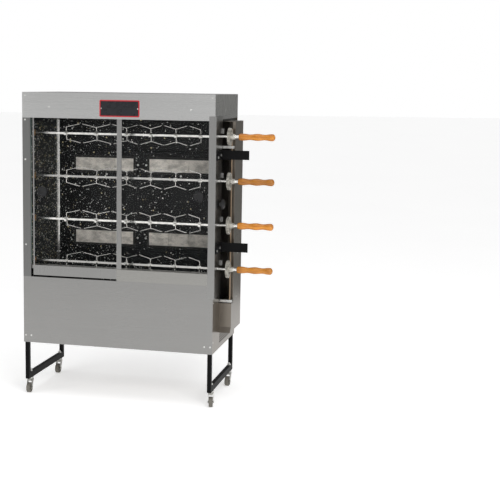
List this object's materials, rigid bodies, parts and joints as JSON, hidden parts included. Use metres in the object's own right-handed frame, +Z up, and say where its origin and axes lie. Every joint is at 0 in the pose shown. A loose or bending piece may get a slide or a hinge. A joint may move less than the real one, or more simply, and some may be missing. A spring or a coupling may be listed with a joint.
{
  "type": "rotisserie oven",
  "caption": "Floor-standing gas rotisserie oven: worm-driven spits with wooden handles, sliding glass doors, infrared burners and a wheeled leg frame.",
  "frame": {"origin": "on the floor, at the middle of the overall width and depth", "axes": "front faces -Y, drive side and spit handles at +X, +Z up"},
  "size_m": [1.239, 0.526, 1.51],
  "materials": {
    "stainless": "vertical brushed satin",
    "black_enamel": "vitreous enamel with pale flecks",
    "plate_enamel": "dark printed plate with a red border",
    "cast_iron": "black heat-proof coating",
    "ceramic_tile": "unglazed perforated ceramic",
    "steel_pipe": "grey painted pipe",
    "brass_fitting": "machined",
    "bronze": "worn bronze",
    "zinc_steel": "zinc plated",
    "motor_paint": "semi-gloss paint",
    "black_paint": "black powder coat",
    "shaft_steel": "bright drawn steel",
    "fork_steel": "bright wire",
    "cast_aluminium": "as-cast, light",
    "turned_wood": "glossy varnish",
    "knob_plastic": "black phenolic",
    "door_glass": "clear tempered",
    "caster_rubber": "grey-brown rubber"
  },
  "bodies": {
    "oven": {"hood": "stainless", "left_side_panel": "stainless", "back_panel": "stainless", "lower_front_panel": "stainless", "lower_side_panel": "stainless", "base_pan": "stainless", "door_sill": "stainless", "door_head_track": "stainless", "door_frame": "stainless", "drip_tray": "stainless", "drive_cover": "stainless", "corner_cover": "stainless", "chamber_left_wall": "black_enamel", "chamber_right_wall": "black_enamel", "chamber_back_wall": "black_enamel", "chamber_floor": "black_enamel", "name_plate": "plate_enamel", "burner_housings": "cast_iron", "burner_tiles": "ceramic_tile", "gas_manifold": "steel_pipe", "gas_inlet": "brass_fitting", "spit_bushes": "bronze", "spit_saddles": "bronze", "shaft_brackets": "zinc_steel", "gear_motor": "motor_paint", "side_arms": "black_paint", "arm_bolts": "zinc_steel", "fasteners": "zinc_steel", "leg_frame": "black_paint", "caster_stems": "zinc_steel"},
    "left_door": {"left_door_glass": "door_glass", "left_door_pull": "knob_plastic"},
    "right_door": {"right_door_glass": "door_glass", "right_door_pull": "knob_plastic"},
    "worm_shaft": {"drive_shaft": "shaft_steel"},
    "knob": {"cover_knob": "knob_plastic"},
    "spit_1": {"spit_1_shaft": "shaft_steel", "spit_1_forks": "fork_steel", "spit_1_gear": "cast_aluminium", "spit_1_handle": "turned_wood"},
    "caster_1_swivel": {"caster_1_fork": "zinc_steel"},
    "caster_1_roller": {"caster_1_wheel": "caster_rubber"},
    "spit_2": {"spit_2_shaft": "shaft_steel", "spit_2_forks": "fork_steel", "spit_2_gear": "cast_aluminium", "spit_2_handle": "turned_wood"},
    "caster_2_swivel": {"caster_2_fork": "zinc_steel"},
    "caster_2_roller": {"caster_2_wheel": "caster_rubber"},
    "spit_3": {"spit_3_shaft": "shaft_steel", "spit_3_forks": "fork_steel", "spit_3_gear": "cast_aluminium", "spit_3_handle": "turned_wood"},
    "caster_3_swivel": {"caster_3_fork": "zinc_steel"},
    "caster_3_roller": {"caster_3_wheel": "caster_rubber"},
    "spit_4": {"spit_4_shaft": "shaft_steel", "spit_4_forks": "fork_steel", "spit_4_gear": "cast_aluminium", "spit_4_handle": "turned_wood"},
    "caster_4_swivel": {"caster_4_fork": "zinc_steel"},
    "caster_4_roller": {"caster_4_wheel": "caster_rubber"}
  },
  "joints": [
    {"name": "left_door_slide", "type": "slide", "parent": "oven", "child": "left_door", "axis": [1, 0, 0], "range_m": [0, 0.44]},
    {"name": "right_door_slide", "type": "slide", "parent": "oven", "child": "right_door", "axis": [-1, 0, 0], "range_m": [0, 0.44]},
    {"name": "spit_1_turn", "type": "hinge", "parent": "oven", "child": "spit_1", "pos_m": [-0.119, -0.1565, 1.31], "axis": [1, 0, 0], "continuous": true},
    {"name": "spit_2_turn", "type": "hinge", "parent": "oven", "child": "spit_2", "pos_m": [-0.119, -0.1565, 1.0965], "axis": [1, 0, 0], "continuous": true},
    {"name": "spit_3_turn", "type": "hinge", "parent": "oven", "child": "spit_3", "pos_m": [-0.119, -0.1565, 0.883], "axis": [1, 0, 0], "continuous": true},
    {"name": "spit_4_turn", "type": "hinge", "parent": "oven", "child": "spit_4", "pos_m": [-0.119, -0.1565, 0.6695], "axis": [1, 0, 0], "continuous": true},
    {"name": "worm_shaft_turn", "type": "hinge", "parent": "oven", "child": "worm_shaft", "pos_m": [0.399, -0.1085, 0.9], "axis": [0, 0, 1], "continuous": true},
    {"name": "cover_knob_turn", "type": "hinge", "parent": "oven", "child": "knob", "pos_m": [0.361, -0.1695, 0.986], "axis": [1, 0, 0], "range_deg": [0, 90]},
    {"name": "caster_1_swivel_turn", "type": "hinge", "parent": "oven", "child": "caster_1_swivel", "pos_m": [-0.604, -0.2135, 0.063], "axis": [0, 0, 1], "continuous": true},
    {"name": "caster_1_roll", "type": "hinge", "parent": "caster_1_swivel", "child": "caster_1_roller", "pos_m": [-0.60295, -0.23347, 0.025], "axis": [0.9986, 0.0523, 0], "continuous": true},
    {"name": "caster_2_swivel_turn", "type": "hinge", "parent": "oven", "child": "caster_2_swivel", "pos_m": [0.336, -0.2135, 0.063], "axis": [0, 0, 1], "continuous": true},
    {"name": "caster_2_roll", "type": "hinge", "parent": "caster_2_swivel", "child": "caster_2_roller", "pos_m": [0.3405, -0.23299, 0.025], "axis": [0.9744, 0.225, 0], "continuous": true},
    {"name": "caster_3_swivel_turn", "type": "hinge", "parent": "oven", "child": "caster_3_swivel", "pos_m": [-0.604, 0.1905, 0.063], "axis": [0, 0, 1], "continuous": true},
    {"name": "caster_3_roll", "type": "hinge", "parent": "caster_3_swivel", "child": "caster_3_roller", "pos_m": [-0.60435, 0.1705, 0.025], "axis": [0.9998, -0.0175, 0], "continuous": true},
    {"name": "caster_4_swivel_turn", "type": "hinge", "parent": "oven", "child": "caster_4_swivel", "pos_m": [0.336, 0.1905, 0.063], "axis": [0, 0, 1], "continuous": true},
    {"name": "caster_4_roll", "type": "hinge", "parent": "caster_4_swivel", "child": "caster_4_roller", "pos_m": [0.33426, 0.17058, 0.025], "axis": [0.9962, -0.0872, 0], "continuous": true}
  ],
  "couplings": [
    {"joint": "spit_2_turn", "follows": "spit_1_turn", "ratio": 1},
    {"joint": "spit_3_turn", "follows": "spit_1_turn", "ratio": 1},
    {"joint": "spit_4_turn", "follows": "spit_1_turn", "ratio": 1},
    {"joint": "worm_shaft_turn", "follows": "spit_1_turn", "ratio": -30}
  ]
}
